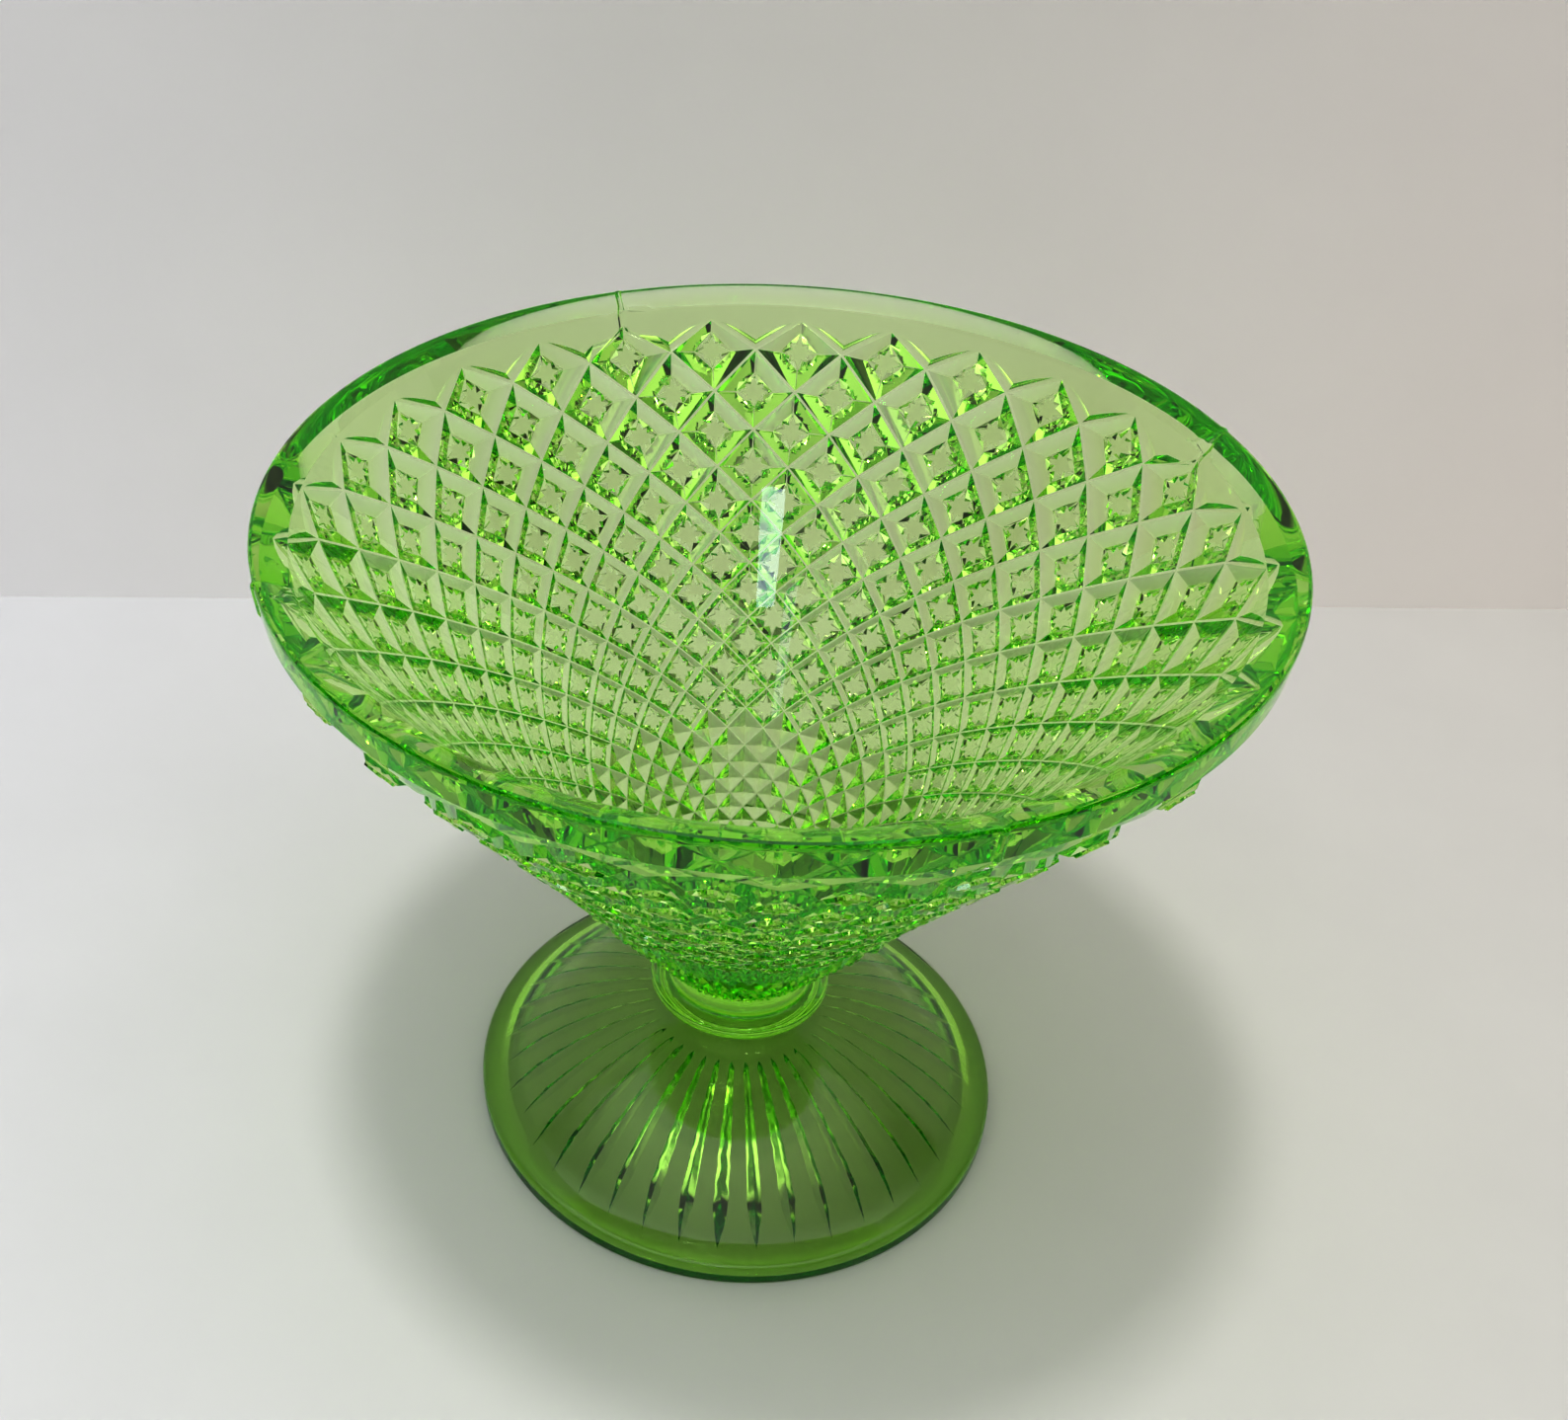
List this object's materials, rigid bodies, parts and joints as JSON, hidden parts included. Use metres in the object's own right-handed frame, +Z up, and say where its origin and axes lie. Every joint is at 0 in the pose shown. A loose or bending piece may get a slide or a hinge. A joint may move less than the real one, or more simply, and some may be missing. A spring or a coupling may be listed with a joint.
{
  "type": "footed glass dish",
  "caption": "Conical pressed-glass dish with a hobnail outside, smooth inside and plain rim band, on a flared collar and a domed rayed foot.",
  "frame": {"origin": "bottom centre of the foot, on the table plane", "axes": "+Z up along the dish's axis; X and Y across the rim, +X through a notch between two hobs"},
  "size_m": [0.14, 0.14, 0.1135],
  "materials": {
    "glass_bowl": "clear fire-polished yellowish-green glass",
    "glass_collar": "clear fire-polished yellowish-green glass",
    "glass_foot": "slightly satin yellowish-green glass"
  },
  "bodies": {
    "root": {"bowl": "glass_bowl", "collar": "glass_collar", "foot": "glass_foot"}
  },
  "joints": []
}
